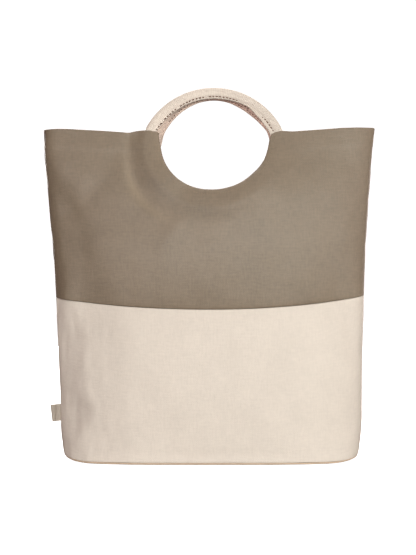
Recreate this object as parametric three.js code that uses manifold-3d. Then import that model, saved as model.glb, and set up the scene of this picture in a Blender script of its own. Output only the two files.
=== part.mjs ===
// Canvas shopper bag, standing open: two-tone cloth body with a half-moon hand cut-out in each face,
// an oval base, two arched handles of folded webbing and a small blank tab at the left side seam.
// Millimetres, +Z up, front towards -Y, origin on the floor under the middle of the bag.
import * as THREE from "three";
import { mergeVertices } from "three/addons/utils/BufferGeometryUtils.js";
import Module from "manifold-3d";

const wasm = await Module();
wasm.setup();

const FRONT = -1;
const BACK = 1;

// Cloth
const GIRTH = 872; // length of cloth right round the body, the same at every height
const CLOTH = 1.6; // thickness of the canvas
const SEWN_GAP = 0.3; // clearance between two pieces that are sewn together

// Heights of the long edges of the panels, at the two side seams and at the middle of a face
const COLOUR_SEAM = { left: 208, middle: 194, right: 211 };
const TOP_EDGE = { left: 426.5, middle: 421, right: 429 };

// Base: flat on the floor in the middle, its two ends curling up
const BASE_THICK = 1.8;
const BASE_FLAT_SHARE = 0.68; // of the way from the middle to an end
const BASE_LIFT = 7.5;

// Half-moon cut-out, its middle on the top edge, leaning a little to the right as it rises
const MOON = { x: 7.5, height: 417.5, radius: 72, lean: 0.07, leftFillet: 4, rightFillet: 9 };

// Handles: each an arc of folded webbing that goes on straight behind its panel to a sewn foot,
// with slack for the slope of the panel there
const FRONT_ARCH = { face: FRONT, x: 5.8, height: 379.6, radius: 92.5, slack: 1.3 };
const BACK_ARCH = { face: BACK, x: 5.8, height: 385.4, radius: 88.4, slack: 0.8 };
const HANDLE = { swing: 62, foot: 36, footSlant: 14, apexDepth: 15 };
const WEBBING = { width: 14, roll: 6, flange: 3.8, flangeThick: 3.4 };

// Tab: ribbon folded once, its two ends at the left side seam
const TAB = { height: 60, tall: 22, reach: 12.5, ribbon: 1, fold: 0.5, tilt: 3 };

// Horizontal sections of the body. A face is y = halfDepth * (1 - |x / halfWidth| ^ flat) ^ round,
// where round is 0.5 for an oval end and 1 for a pointed one. lean moves the whole section in X.
const SECTIONS = [
  { height: 0, halfWidth: 189, lean: 1.8, flat: 3.6, round: 0.3 },
  { height: 24, halfWidth: 193.5, lean: 1.8, flat: 2.9, round: 0.37 },
  { height: 86, halfWidth: 195.5, lean: 1.7, flat: 2.6, round: 0.42 },
  { height: 149, halfWidth: 198, lean: 1, flat: 2.4, round: 0.46 },
  { height: 211, halfWidth: 200.2, lean: 0.6, flat: 2.2, round: 0.5 },
  { height: 273, halfWidth: 203.2, lean: -0.3, flat: 2.1, round: 0.56 },
  { height: 336, halfWidth: 208.2, lean: -1.2, flat: 2, round: 0.66 },
  { height: 383, halfWidth: 211.6, lean: -1.2, flat: 2, round: 0.76 },
  { height: 430, halfWidth: 214.8, lean: -0.2, flat: 2, round: 0.86 },
];

// Soft dents: middle (x, height), reach along and across a direction turned up from +X, depth inwards
const DENTS = [
  { face: FRONT, x: -168, height: 318, turn: 40, along: 46, across: 15, depth: 5 },
  { face: FRONT, x: -172, height: 142, turn: 80, along: 48, across: 13, depth: 4 },
  { face: FRONT, x: -166, height: 62, turn: 105, along: 42, across: 14, depth: 5 },
  { face: FRONT, x: 182, height: 120, turn: 92, along: 60, across: 10, depth: 3 },
  { face: FRONT, x: 30, height: 222, turn: 4, along: 90, across: 16, depth: 2.5 },
  { face: BACK, x: 150, height: 300, turn: 130, along: 60, across: 16, depth: 5 },
  { face: BACK, x: -120, height: 110, turn: 75, along: 60, across: 16, depth: 4 },
];

// Creases that run round the cut-out, where its doubled rim stands stiffer than the panel
const CREASES = [
  { face: FRONT, radius: 116, from: 172, to: 246, width: 10, depth: 6 },
  { face: FRONT, radius: 100, from: 246, to: 318, width: 10, depth: 2 },
  { face: BACK, radius: 108, from: 222, to: 310, width: 12, depth: 4 },
];

const OUTLINE_STEPS = 80;

// Points of a quarter of a section, from the middle of the face to the side, with the length so far
function quarterOutline(section, halfDepth) {
  const points = [{ x: 0, y: halfDepth, length: 0 }];
  for (let i = 1; i <= OUTLINE_STEPS; i++) {
    const sine = Math.sin((i / OUTLINE_STEPS) * (Math.PI / 2));
    const x = section.halfWidth * sine;
    const y = halfDepth * Math.max(0, 1 - sine ** section.flat) ** section.round;
    const last = points[i - 1];
    points.push({ x, y, length: last.length + Math.hypot(x - last.x, y - last.y) });
  }
  return points;
}

// Depth of a section that uses up exactly the girth of the cloth
function halfDepthFor(section) {
  let low = 0;
  let high = section.halfWidth;
  for (let i = 0; i < 40; i++) {
    const middle = (low + high) / 2;
    const tooShort = quarterOutline(section, middle)[OUTLINE_STEPS].length < GIRTH / 4;
    low = tooShort ? middle : low;
    high = tooShort ? high : middle;
  }
  return low;
}

const sections = new THREE.CubicInterpolant(
  SECTIONS.map((row) => row.height),
  SECTIONS.flatMap((row) => [row.halfWidth, row.lean, row.flat, row.round, halfDepthFor(row)]),
  5,
  new Float64Array(5),
);

// Point of the smooth body; share runs from -1 at the left side seam to 1 at the right one
function bodyPoint(face, share, height) {
  const past = Math.abs(share) > 1;
  const way = past ? 2 - Math.abs(share) : Math.abs(share);
  const [halfWidth, lean, flat, round, halfDepth] = sections.evaluate(height);
  const outline = quarterOutline({ halfWidth, flat, round }, halfDepth);
  const length = way * outline[OUTLINE_STEPS].length;
  const next = Math.max(1, outline.findIndex((point) => point.length >= length));
  const [from, to] = [outline[next - 1], outline[next]];
  const step = (length - from.length) / (to.length - from.length);
  const x = THREE.MathUtils.lerp(from.x, to.x, step);
  const y = THREE.MathUtils.lerp(from.y, to.y, step);
  return new THREE.Vector3(lean + Math.sign(share) * x, (past ? -face : face) * y, height);
}

// Level direction out of the body at a point
function outwards(face, share, height) {
  const along = bodyPoint(face, share + 0.004, height).sub(bodyPoint(face, share - 0.004, height));
  return new THREE.Vector3(-face * along.y, face * along.x, 0).normalize();
}

function bell(distance, reach) {
  return Math.exp(-((distance / reach) ** 2));
}

// How far the cloth is pushed in at a point by its dents and creases
function pushedIn(face, x, height) {
  let depth = 0;
  for (const dent of DENTS.filter((row) => row.face === face)) {
    const turn = THREE.MathUtils.degToRad(dent.turn);
    const right = x - dent.x;
    const up = height - dent.height;
    const along = right * Math.cos(turn) + up * Math.sin(turn);
    const across = up * Math.cos(turn) - right * Math.sin(turn);
    depth += dent.depth * bell(along, dent.along) * bell(across, dent.across);
  }
  for (const crease of CREASES.filter((row) => row.face === face)) {
    const right = x - MOON.x;
    const up = height - MOON.height;
    const angle = (THREE.MathUtils.radToDeg(Math.atan2(up, right)) + 360) % 360;
    const beyond = Math.max(0, crease.from - angle, angle - crease.to);
    depth += crease.depth * bell(Math.hypot(right, up) - crease.radius, crease.width) * bell(beyond, 16);
  }
  return depth;
}

// Point of the cloth, a given distance in from its outer face
function clothPoint(face, share, height, inside) {
  const point = bodyPoint(face, share, height);
  const calm = THREE.MathUtils.smoothstep(1 - Math.abs(share), 0, 0.12);
  const depth = inside + calm * pushedIn(face, point.x, height);
  point.addScaledVector(outwards(face, share, height), -depth);
  point.y = face * Math.max(face * point.y, SEWN_GAP / 2);
  return point;
}

function sagging(edge, share) {
  return THREE.MathUtils.lerp(edge.middle, share < 0 ? edge.left : edge.right, share * share);
}

function baseLift(share) {
  const beyond = Math.max(0, Math.abs(share) - BASE_FLAT_SHARE);
  return BASE_LIFT * (beyond / (1 - BASE_FLAT_SHARE)) ** 2;
}

function wallFoot(share) {
  return baseLift(share) + BASE_THICK + SEWN_GAP;
}

// Moves every vertex of a segmented box and closes the result into one solid
function reshaped(box, place) {
  const position = box.getAttribute("position");
  for (let i = 0; i < position.count; i++) {
    const { x, y, z } = place(position.getX(i), position.getY(i), position.getZ(i));
    position.setXYZ(i, x, y, z);
  }
  box.deleteAttribute("normal");
  box.deleteAttribute("uv");
  return mergeVertices(box, 1e-4);
}

// Closer columns towards the side seams, where the cloth turns round
function spread(way) {
  return way * (1.25 - 0.25 * way * way);
}

function clothWall(face, columns, rows, bottom, top) {
  const box = new THREE.BoxGeometry(2, 1, 1, columns, rows, 1);
  const reach = 1 - (2 * SEWN_GAP) / GIRTH;
  return reshaped(box, (way, up, out) => {
    const share = -face * spread(way) * reach;
    const height = THREE.MathUtils.lerp(bottom(share), top(share), up + 0.5);
    return clothPoint(face, share, height, (0.5 - out) * CLOTH);
  });
}

function lowerWall(face, columns, rows) {
  return clothWall(face, columns, rows, wallFoot, (share) => sagging(COLOUR_SEAM, share) - SEWN_GAP / 2);
}

function upperWall(face, columns, rows) {
  const seam = (share) => sagging(COLOUR_SEAM, share) + SEWN_GAP / 2;
  return clothWall(face, columns, rows, seam, (share) => sagging(TOP_EDGE, share));
}

function solidOf(geometry) {
  const mesh = new wasm.Mesh({
    numProp: 3,
    vertProperties: new Float32Array(geometry.getAttribute("position").array),
    triVerts: new Uint32Array(geometry.getIndex().array),
  });
  mesh.merge();
  return new wasm.Manifold(mesh);
}

function geometryOf(solid) {
  const mesh = solid.getMesh();
  const geometry = new THREE.BufferGeometry();
  geometry.setAttribute("position", new THREE.BufferAttribute(mesh.vertProperties, 3));
  geometry.setIndex(new THREE.BufferAttribute(mesh.triVerts, 1));
  return geometry;
}

// Prism through both faces: a half-moon that flares out to the top edge in a fillet at each side
function moonCutter() {
  const { radius, leftFillet, rightFillet } = MOON;
  const leftEdge = sagging(TOP_EDGE, (MOON.x - radius) / (GIRTH / 4)) - MOON.height;
  const rightEdge = sagging(TOP_EDGE, (MOON.x + radius) / (GIRTH / 4)) - MOON.height;
  const above = rightEdge + 20;
  const moon = new THREE.Shape();
  moon.moveTo(-radius - leftFillet, above);
  moon.lineTo(-radius - leftFillet, leftEdge);
  moon.absarc(-radius - leftFillet, leftEdge - leftFillet, leftFillet, Math.PI / 2, 0, true);
  moon.absarc(0, 0, radius, Math.PI, 2 * Math.PI, false);
  moon.absarc(radius + rightFillet, rightEdge - rightFillet, rightFillet, Math.PI, Math.PI / 2, true);
  moon.lineTo(radius + rightFillet, above);
  const cutter = new THREE.ExtrudeGeometry(moon, { depth: 200, curveSegments: 20, bevelEnabled: false });
  const lean = new THREE.Matrix4().makeShear(0, 0, MOON.lean, 0, 0, 0);
  cutter.translate(0, 0, -100).applyMatrix4(lean).rotateX(Math.PI / 2);
  cutter.translate(MOON.x, 0, MOON.height);
  cutter.deleteAttribute("normal");
  cutter.deleteAttribute("uv");
  return mergeVertices(cutter, 1e-4);
}

function withMoon(geometry) {
  return geometryOf(solidOf(geometry).subtract(solidOf(moonCutter())));
}

function basePanel(columns, rows) {
  const box = new THREE.BoxGeometry(2, 2, 1, columns, rows, 1);
  return reshaped(box, (way, side, up) => {
    const share = 0.98 * spread(way);
    const edge = bodyPoint(FRONT, share, wallFoot(share));
    return { x: edge.x, y: -edge.y * side, z: baseLift(share) + (up + 0.5) * BASE_THICK };
  });
}

// Middle line of a handle: sewn foot, arch, sewn foot
function handlePath(arch) {
  const points = [];
  const behind = CLOTH + SEWN_GAP + WEBBING.roll / 2 + arch.slack;
  for (let step = -8; step <= 8; step++) {
    const angle = THREE.MathUtils.degToRad((HANDLE.swing * step) / 8);
    const x = arch.x + arch.radius * Math.sin(angle);
    const z = arch.height + arch.radius * Math.cos(angle);
    points.push(new THREE.Vector3(x, 0, z));
  }
  const slant = THREE.MathUtils.degToRad(HANDLE.footSlant);
  for (let half = 0; half < 2; half++) {
    const down = new THREE.Vector3(Math.sin(slant), 0, -Math.cos(slant)).multiplyScalar(HANDLE.foot / 2);
    points.push(points[points.length - 1].clone().add(down));
    points.unshift(points[0].clone().add(down.setX(-down.x)));
  }
  const apex = arch.height + arch.radius;
  for (const point of points) {
    const share = point.x / (GIRTH / 4);
    const sewn = arch.face * clothPoint(arch.face, share, Math.min(point.z, TOP_EDGE.middle), behind).y;
    const rise = THREE.MathUtils.smoothstep(point.z, TOP_EDGE.middle - 12, apex);
    point.y = arch.face * THREE.MathUtils.lerp(sewn, HANDLE.apexDepth, rise);
  }
  return new THREE.CatmullRomCurve3(points);
}

// Webbing folded in two: a roll along the outside of the arch, a flat double edge along its inside
function webbingSection() {
  const { width, roll, flange, flangeThick } = WEBBING;
  const inner = width / 2;
  const neck = inner - flange;
  const section = new THREE.Shape();
  section.moveTo(-flangeThick / 2, inner);
  section.lineTo(-flangeThick / 2, neck);
  section.quadraticCurveTo(-roll / 2, neck - 1.5, -roll / 2, neck - 4);
  section.absellipse(0, -inner + 5, roll / 2, 5, Math.PI, 2 * Math.PI, false);
  section.lineTo(roll / 2, neck - 4);
  section.quadraticCurveTo(roll / 2, neck - 1.5, flangeThick / 2, neck);
  section.lineTo(flangeThick / 2, inner);
  return section;
}

function handle(arch) {
  const path = handlePath(arch);
  const geometry = new THREE.ExtrudeGeometry(webbingSection(), { steps: 30, curveSegments: 3, extrudePath: path });
  geometry.deleteAttribute("normal");
  geometry.deleteAttribute("uv");
  return mergeVertices(geometry, 1e-4);
}

function sideTab() {
  const { tall, reach, ribbon, fold } = TAB;
  const outer = fold / 2 + ribbon;
  const bend = reach - outer;
  const outline = new THREE.Shape();
  outline.moveTo(0, outer);
  outline.lineTo(0, fold / 2);
  outline.lineTo(-bend, fold / 2);
  outline.absarc(-bend, 0, fold / 2, Math.PI / 2, (3 * Math.PI) / 2, false);
  outline.lineTo(0, -fold / 2);
  outline.lineTo(0, -outer);
  outline.lineTo(-bend, -outer);
  outline.absarc(-bend, 0, outer, (3 * Math.PI) / 2, Math.PI / 2, true);
  const geometry = new THREE.ExtrudeGeometry(outline, { depth: tall, curveSegments: 6, bevelEnabled: false });
  return geometry.translate(0, 0, -tall / 2);
}

const FINISH = {
  taupe: { color: 0x94826f, roughness: 0.92, metalness: 0 },
  natural: { color: 0xe2d5c5, roughness: 0.92, metalness: 0 },
  webbing: { color: 0xe6d9c9, roughness: 0.88, metalness: 0 },
  ribbon: { color: 0xb0a392, roughness: 0.8, metalness: 0 },
};

function piece(name, geometry, finish) {
  const mesh = new THREE.Mesh(geometry, new THREE.MeshStandardMaterial(FINISH[finish]));
  mesh.name = name;
  return mesh;
}

const bag = new THREE.Group();
bag.name = "shopper_bag";
bag.add(piece("front_upper_panel", withMoon(upperWall(FRONT, 44, 16)), "taupe"));
bag.add(piece("back_upper_panel", withMoon(upperWall(BACK, 32, 9)), "taupe"));
bag.add(piece("front_lower_panel", lowerWall(FRONT, 40, 9), "natural"));
bag.add(piece("back_lower_panel", lowerWall(BACK, 34, 7), "natural"));
bag.add(piece("base_panel", basePanel(32, 4), "natural"));
bag.add(piece("front_handle", handle(FRONT_ARCH), "webbing"));
bag.add(piece("back_handle", handle(BACK_ARCH), "webbing"));

const tab = piece("side_tab", sideTab(), "ribbon");
tab.position.copy(bodyPoint(FRONT, -1, TAB.height)).setX(bodyPoint(FRONT, -1, TAB.height).x - 2 * SEWN_GAP);
tab.rotation.y = THREE.MathUtils.degToRad(-TAB.tilt);
bag.add(tab);

export default bag;
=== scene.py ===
"""Looks of the shopper bag: sewn canvas panels, folded webbing handles, a blank ribbon tab and their stitching."""

import math
from collections import namedtuple

import bmesh
import bpy
import numpy as np
from mathutils import Matrix, Vector, noise


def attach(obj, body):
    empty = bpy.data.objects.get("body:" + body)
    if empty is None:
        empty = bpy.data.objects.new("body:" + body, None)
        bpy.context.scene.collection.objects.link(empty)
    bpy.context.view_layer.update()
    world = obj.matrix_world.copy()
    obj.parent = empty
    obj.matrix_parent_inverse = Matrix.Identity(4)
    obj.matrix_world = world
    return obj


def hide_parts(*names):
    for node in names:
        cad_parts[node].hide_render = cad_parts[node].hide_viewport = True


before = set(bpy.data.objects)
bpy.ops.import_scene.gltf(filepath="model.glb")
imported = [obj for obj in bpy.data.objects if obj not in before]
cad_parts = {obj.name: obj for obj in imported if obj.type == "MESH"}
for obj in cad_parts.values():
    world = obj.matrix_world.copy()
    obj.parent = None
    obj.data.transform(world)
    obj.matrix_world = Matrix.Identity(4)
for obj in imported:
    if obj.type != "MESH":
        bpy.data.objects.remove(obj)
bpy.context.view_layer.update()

MM = 0.001
FRONT = -1
BACK = 1

# Cloth, in millimetres
GIRTH = 872.0  # length of cloth right round the body, the same at every height
HALF_FACE = GIRTH / 4  # of cloth from the middle of a face to a side seam
CLOTH = 1.5
HEM = 2.4  # thickness where the cloth is doubled along the mouth
HEM_REACH = 25.0
HEM_STEP = 4.0  # over which the doubled cloth thins to one layer
HEM_RISE = 0.5  # how far the doubled cloth stands out
THINNEST = 0.3  # cloth beside the side seams, where the two faces leave it little room
SIDE_ROOM = 0.1
SEWN_GAP = 0.02

Edge = namedtuple("Edge", "left middle right")
COLOUR_SEAM = Edge(209.3, 194.7, 212.7)
TOP_EDGE = Edge(426.5, 422.0, 429.0)

BASE_FLAT_SHARE = 0.68  # of the way to a side seam, where the base starts to curl up
BASE_LIFT = 9.5
BASE_CURL = 2.2  # power with which it curls
BASE_THICK = 1.2
FOOT_ROLL = 0.4  # radius with which the walls turn in to meet the base
FOOT_GAP = 0.1
RIM_RISE = 2.9  # height of the seam between wall and base over the underside of the base

Moon = namedtuple("Moon", "across height radius lean left_fillet right_fillet")
MOON = Moon(8.3, 417.5, 71.2, 0.07, 7.5, 9.0)
BACK_MOON = Moon(8.3, 417.5, 76.0, 0.05, 4.0, 6.0)

Arch = namedtuple("Arch", "face x height radius slack")
FRONT_ARCH = Arch(FRONT, 5.6, 379.9, 92.5, 1.3)
BACK_ARCH = Arch(BACK, 7.4, 388.2, 85.6, 0.8)
# How far the sides of the slack back handle sink towards its middle, by the angle from its top
BACK_SINKS = (
    (-66, 2.6), (-58, 3.4), (-45, 2.6), (-30, 1.4), (-15, 0.1), (0, 0.0), (14, 1.0), (24, 2.8), (38, 3.8),
    (50, 3.0), (60, 1.2), (66, 0.2),
)
HANDLE_SWING = 62.0  # degrees from the top of an arch to its feet
HANDLE_FOOT = 36.0  # length of a sewn foot
FOOT_SLANT = 14.0  # degrees by which the feet spread
FOOT_BEHIND = 4.9  # from the cloth's outer face in to the middle of a foot without slack
LEAN_FROM = 12.0  # below the top edge, where a handle starts to lean to the middle of the bag
APEX_DEPTH = 12.0  # from the middle of the bag to the top of an arch
SEWN_FROM = (-8.0, 10.0)  # below the top edge, between which a foot turns to lie along the cloth
SEWN_FLATTER = 0.2  # share of its thickness that a sewn foot loses
WEBBING_THICK = 1.3

TAB_HEIGHT = 60.0
TAB_TALL = 22.0
TAB_REACH = 12.0
TAB_TILT = 6.0
TAB_THICK = 0.7
TAB_PUFF = 2.0  # half the distance between its two layers
TAB_PINCH = 0.55  # share of that distance at the seam
TAB_PINCHED = (-1.0, 3.0)  # from the seam, between which the layers part
TAB_SEWN = 1.2  # caught in the side seam
TAB_CREASE = 7.0  # from the seam to the crease down the tab
CREASE_SLANT = -0.1
CREASE_BOW = 0.008
CREASE_DEPTH = 1.7
CREASE_REACH = 0.9

# Horizontal sections of the body: y = half_depth * (1 - |x / half_width| ^ flat) ^ round
Section = namedtuple("Section", "height half_width lean flat round")
SECTIONS = (
    Section(0, 186.0, 1.8, 3.6, 0.3),
    Section(9, 190.0, 1.8, 3.3, 0.33),
    Section(24, 192.8, 1.7, 2.9, 0.37),
    Section(86, 195.5, 1.7, 2.6, 0.42),
    Section(149, 198.0, 1.0, 2.4, 0.46),
    Section(211, 200.2, 0.6, 2.2, 0.5),
    Section(273, 203.2, -0.3, 2.1, 0.56),
    Section(336, 208.2, -1.2, 2.8, 0.66),
    Section(362, 210.3, -1.4, 4.4, 0.74),
    Section(383, 212.0, -1.7, 6.0, 0.8),
    Section(430, 214.8, -0.5, 12.0, 0.84),
)

# Soft dents, or bulges where the depth is negative: middle (x, height), reach along and across a direction
# turned up from +X, depth inwards
Dent = namedtuple("Dent", "face x height turn along across depth")
DENTS = (
    Dent(FRONT, -206, 405, 90, 30, 14, -3.4),
    Dent(FRONT, -197, 225, 90, 38, 11, 2.0),
    Dent(FRONT, -186, 185, 90, 25, 8, -1.8),
    Dent(FRONT, -192, 374, 90, 26, 22, -5.0),
    Dent(FRONT, -165, 350, 80, 28, 13, -1.6),
    Dent(FRONT, -120, 388, 75, 30, 12, 1.2),
    Dent(FRONT, -168, 330, 40, 40, 12, 1.5),
    Dent(FRONT, 182, 158, 92, 32, 10, 2.2),
    Dent(FRONT, 192, 62, 90, 55, 11, -1.0),
    Dent(FRONT, -40, 300, 60, 40, 14, -1.2),
    Dent(FRONT, -92, 418, 90, 8, 6, 1.4),
    Dent(FRONT, -103, 414, 91, 12, 3.5, 1.3),
    Dent(FRONT, 88, 324, 15, 105, 60, -6.0),
    Dent(FRONT, 66, 358, 45, 50, 24, -4.0),
    Dent(BACK, 150, 300, 130, 60, 16, 5.0),
    Dent(BACK, -120, 110, 75, 60, 16, 4.0),
)

# The fold round the cut-out, where its faced rim stands stiffer and prouder than the panel: from its middle,
# an angle, the fold's radius there, how far the rim rises and within what distance
Rim = namedtuple("Rim", "angle radius rise bank")
FRONT_RIM = (
    Rim(160, 109, 3.3, 22), Rim(180, 110, 4.2, 22), Rim(190, 113, 4.8, 22), Rim(200, 117, 5.8, 24),
    Rim(208, 121, 7.6, 30), Rim(214, 123, 8.5, 32), Rim(222, 123, 8.0, 32), Rim(230, 123, 5.0, 32),
    Rim(240, 123, 1.5, 30), Rim(248, 123, 0.0, 30),
)
BACK_RIM = (Rim(215, 110, 0.0, 22), Rim(240, 110, 2.4, 22), Rim(290, 110, 2.4, 22), Rim(325, 110, 0.0, 22))
FOLD_SHARE = 0.4  # of the rise that the fold sinks below the panel
FOLD_BANK = 7.0

# Lines where the left of the front turns to a flat side: strength 1 makes the side quite flat
Turn = namedtuple("Turn", "height x strength")
LOWER_SOFT_TURN = (Turn(4, -84, 0.0), Turn(40, -84, 0.2), Turn(150, -84, 0.25), Turn(212, -100, 0.2))
LOWER_TURN = (
    Turn(4, -158, 0.0), Turn(29, -158, 0.3), Turn(39, -152, 0.45), Turn(48, -145, 0.55), Turn(60, -139, 0.6),
    Turn(69, -139, 0.62), Turn(79, -144, 0.56), Turn(92, -150, 0.58), Turn(130, -150, 0.68), Turn(156, -146, 0.74),
    Turn(168, -152, 0.72), Turn(194, -162, 0.62), Turn(212, -166, 0.55),
)
UPPER_TURN = (
    Turn(196, -112, 0.35), Turn(219, -114, 0.45), Turn(255, -126, 0.6), Turn(295, -134, 0.7), Turn(323, -146, 0.8),
    Turn(340, -158, 0.6), Turn(352, -166, 0.3), Turn(364, -168, 0.0),
)
UPPER_INSET = 13.0
# Widths over which the front bends along each of these lines
LOWER_SOFT_KNEE = 50.0
LOWER_KNEE = 24.0
UPPER_KNEE = 38.0

# Body

OUTLINE_POINTS = 161  # along a quarter of a section
HALVINGS = 40  # of the range in which a section's depth is looked for
SHARE_STEP = 0.006  # to either side of a point, to find which way the body faces there


def smooth_through(heights, values, at):
    """Values on a smooth curve through the values given at some heights"""
    slopes = np.gradient(values, heights)
    i = np.clip(np.searchsorted(heights, at) - 1, 0, len(heights) - 2)
    gap = heights[i + 1] - heights[i]
    t = (at - heights[i]) / gap
    start = (1 + 2 * t) * (1 - t) ** 2 * values[i] + t * (1 - t) ** 2 * gap * slopes[i]
    end = t * t * (3 - 2 * t) * values[i + 1] + t * t * (t - 1) * gap * slopes[i + 1]
    return start + end


def quarter_outline(half_width, half_depth, flat, roundness):
    """A section's points from the middle of a face to a side seam, and the length of cloth up to each"""
    sine = np.sin(np.linspace(0, np.pi / 2, OUTLINE_POINTS))
    x = half_width * sine
    y = half_depth * np.clip(1 - sine**flat, 0, None) ** roundness
    length = np.concatenate([[0], np.cumsum(np.hypot(np.diff(x), np.diff(y)))])
    return x, y, length


def half_depth_for(row):
    """Half depth that gives a section the girth of the cloth"""
    low, high = 0.0, row.half_width
    for _ in range(HALVINGS):
        middle = (low + high) / 2
        length = quarter_outline(row.half_width, middle, row.flat, row.round)[2][-1]
        low, high = (middle, high) if length < HALF_FACE else (low, middle)
    return low


# Heights, and shares of the cloth from the middle of a face to a side seam, at which the body is worked out
LEVEL_STEP = 2.0
LEVELS = np.arange(-6.0, 440.0, LEVEL_STEP)
WAYS = np.linspace(0, 1, 301)
LAST_CELL = 1.001  # taken off a number of points to stay inside the last cell between them


def body_tables():
    heights = np.array([row.height for row in SECTIONS], float)
    columns = [np.array([getattr(row, name) for row in SECTIONS], float) for name in Section._fields[1:]]
    columns.append(np.array([half_depth_for(row) for row in SECTIONS]))
    half_width, lean, flat, roundness, half_depth = [smooth_through(heights, c, LEVELS) for c in columns]
    xs, ys = [], []
    for i in range(len(LEVELS)):
        x, y, length = quarter_outline(half_width[i], half_depth[i], flat[i], roundness[i])
        xs.append(np.interp(WAYS * length[-1], length, x))
        ys.append(np.interp(WAYS * length[-1], length, y))
    shape = {"half_width": half_width, "lean": lean, "flat": flat, "round": roundness, "half_depth": half_depth}
    return shape, np.array(xs), np.array(ys)


BODY_SHAPE, BODY_X, BODY_Y = body_tables()


def body(face, share, height):
    """Points of the smooth body; share runs from -1 at the left side seam to 1 at the right one"""
    past = np.abs(share) > 1
    way = np.where(past, 2 - np.abs(share), np.abs(share))
    row = np.clip((height - LEVELS[0]) / LEVEL_STEP, 0, len(LEVELS) - LAST_CELL)
    column = np.clip(way, 0, 1) * (len(WAYS) - LAST_CELL)
    i, j = row.astype(int), column.astype(int)
    f, g = row - i, column - j

    def between(table):
        low = table[i, j] * (1 - g) + table[i, j + 1] * g
        high = table[i + 1, j] * (1 - g) + table[i + 1, j + 1] * g
        return low * (1 - f) + high * f

    lean = np.interp(height, LEVELS, BODY_SHAPE["lean"])
    x = lean + np.sign(share) * between(BODY_X)
    y = face * np.where(past, -1, 1) * between(BODY_Y)
    return np.stack([x, y, height], axis=-1)


def outwards(face, share, height):
    """Level directions that the smooth body faces"""
    along = body(face, share + SHARE_STEP, height) - body(face, share - SHARE_STEP, height)
    level = np.stack([-face * along[:, 1], face * along[:, 0], np.zeros(len(along))], axis=-1)
    return level / np.linalg.norm(level, axis=1)[:, None]


# Folds


def bell(distance, reach):
    return np.exp(-((distance / reach) ** 2))


def smoothstep(value, low, high):
    t = np.clip((value - low) / (high - low), 0, 1)
    return t * t * (3 - 2 * t)


# Uneven waves in the cloth: how deep, wide and tall they are, a seed, and a reach. Ripples and creases die away
# within that reach of the side seams, and puckers as far from the seam that makes them
Waves = namedtuple("Waves", "deep wide tall seed reach")
BROAD_RIPPLES = Waves(0.9, 55, 70, 0, 40)
FINE_RIPPLES = Waves(0.35, 21, 26, 9, 30)
SIDE_PUCKERS = Waves(0.7, 60, 17, 20, 16)
COLOUR_SEAM_PUCKERS = Waves(0.45, 13, 60, 30, 9)
BASE_PUCKERS = Waves(0.7, 12, 60, 40, 12)
LEFT_CREASES = Waves(0.8, 9, 24, 50, 30)
LOWER_PUCKERS = 4 / 7  # of their depth that the side puckers have in the lower panels
FACE_SEED = 3.0
# Those creases are in the left of the lower panels: how far to the left and below the colour seam they grow
CREASED_LEFT = (60.0, 170.0)
CREASED_BELOW = 20.0

# The waist at the colour seam: its depth on each face, its reach upwards and downwards, and the distance from the
# side seams in which it dies away
WAIST = {FRONT: 10.0, BACK: 4.0}
WAIST_UP = 38.0
WAIST_DOWN = 62.0
WAIST_END = 60.0
# The groove of the seam itself
GROOVE = 0.25
GROOVE_REACH = 2.0
GROOVE_END = 30.0
DENT_END = 8.0  # from the side seams, where dents die away


def ripples(kind, face, across, height):
    seed = FACE_SEED * face + kind.seed
    return kind.deep * np.array([noise.noise((a / kind.wide, h / kind.tall, seed)) for a, h in zip(across, height)])


# How far the top edge of the front waves above its even curve, by the distance across
TOP_WAVES = (
    (-218, 0.1), (-194, 1.7), (-178, 1.6), (-155, 0.9), (-131, 0.2), (-112, -0.8), (-107, -1.1), (-103, -1.3),
    (-98, 0.1), (-91, 1.3), (-83, 1.9), (-76, 2.0), (-70, 1.4), (-62, 0.4), (79, -0.3), (84, 0.5), (88, 0.9),
    (93, 0.7), (100, 0.1), (108, -0.4), (122, 0.2), (152, 1.2), (168, 1.8), (190, 1.6), (218, 0.5),
)

# How far the edge of the cut-out strays outwards from its even round, by the angle below its right corner
MOON_STRAYS = (
    (0, -1.3), (10, -1.1), (19, 0.2), (26, 1.2), (34, 1.1), (44, 0.2), (58, 0.3), (75, -0.5), (92, -1.0),
    (110, -0.3), (127, 0.1), (140, -0.2), (152, -0.8), (164, -1.6), (173, -0.3), (180, 1.2),
)


def moon_radius(moon, angle):
    return moon.radius + np.interp(-np.degrees(angle), *zip(*MOON_STRAYS))


def sagging(edge, share):
    """Heights along an edge that hangs between its ends"""
    return edge.middle + (np.where(share < 0, edge.left, edge.right) - edge.middle) * share**2


def top_edge(face, across):
    even = sagging(TOP_EDGE, across / HALF_FACE)
    return even + (np.interp(across, *zip(*TOP_WAVES)) if face == FRONT else 0)


def base_lift(share):
    beyond = np.clip(np.abs(share) - BASE_FLAT_SHARE, 0, None)
    return BASE_LIFT * (beyond / (1 - BASE_FLAT_SHARE)) ** BASE_CURL


def flattened(turn, point, knee, inset=0.0):
    """How far the front moves back to make its left side flat from a turning line to an inset from the side seam"""
    height = point[:, 2]
    half_width, lean, flat, roundness, half_depth = [
        np.interp(height, LEVELS, values) for values in BODY_SHAPE.values()
    ]
    heights, xs, strengths = zip(*turn)
    line = np.interp(height, heights, xs)
    side = lean - half_width + inset
    corner, edge = [
        half_depth * np.clip(1 - np.abs((x - lean) / half_width) ** flat, 0, None) ** roundness for x in (line, side)
    ]
    way = np.clip((point[:, 0] - side) / (line - side), 0, 1)
    strength = np.interp(height, heights, strengths) * smoothstep(line - point[:, 0], 0, knee)
    return np.where(point[:, 0] < side, 0, strength * (np.abs(point[:, 1]) - edge - (corner - edge) * way))


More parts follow.
